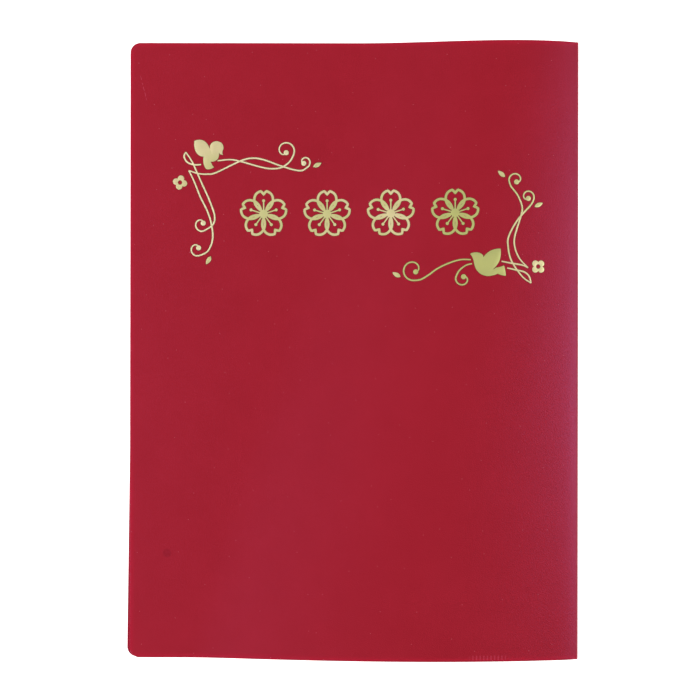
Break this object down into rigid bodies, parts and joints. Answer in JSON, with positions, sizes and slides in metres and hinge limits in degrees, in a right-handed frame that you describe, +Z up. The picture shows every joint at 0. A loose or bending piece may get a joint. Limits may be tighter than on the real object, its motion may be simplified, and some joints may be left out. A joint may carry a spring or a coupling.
{
  "type": "diploma cover",
  "caption": "Folded crimson plastic diploma cover with a narrow spine, clear inside pockets and gold foil flowers, doves and vines.",
  "frame": {"origin": "middle of the shut cover's footprint, on the surface it lies on", "axes": "+Z up out of the front cover, +Y towards the head edge, +X towards the spine"},
  "size_m": [0.226, 0.308, 0.0114],
  "materials": {
    "crimson_sheet": "fine matte grain",
    "clear_film": "clear and glossy",
    "gold_foil": "satin hot-stamped foil"
  },
  "bodies": {
    "back": {"back_cover": "crimson_sheet", "back_pocket": "clear_film"},
    "spine_strip": {"spine": "crimson_sheet"},
    "front": {"front_cover": "crimson_sheet", "front_pocket": "clear_film", "foil_blossom_1": "gold_foil", "foil_blossom_2": "gold_foil", "foil_blossom_3": "gold_foil", "foil_blossom_4": "gold_foil", "foil_head_dove": "gold_foil", "foil_head_vines": "gold_foil", "foil_head_leaf_1": "gold_foil", "foil_head_leaf_2": "gold_foil", "foil_head_flower": "gold_foil", "foil_tail_dove": "gold_foil", "foil_tail_long_vine": "gold_foil", "foil_tail_short_vine": "gold_foil", "foil_tail_corner_vines": "gold_foil", "foil_tail_leaf_1": "gold_foil", "foil_tail_leaf_2": "gold_foil", "foil_tail_leaf_3": "gold_foil", "foil_tail_flower": "gold_foil"}
  },
  "joints": [
    {"name": "spine_fold", "type": "hinge", "parent": "back", "child": "spine_strip", "pos_m": [0.113, 0, 0], "axis": [0, 1, 0], "range_deg": [0, 90]},
    {"name": "front_fold", "type": "hinge", "parent": "spine_strip", "child": "front", "pos_m": [0.113, 0, 0.005], "axis": [0, 1, 0], "range_deg": [0, 90]}
  ]
}
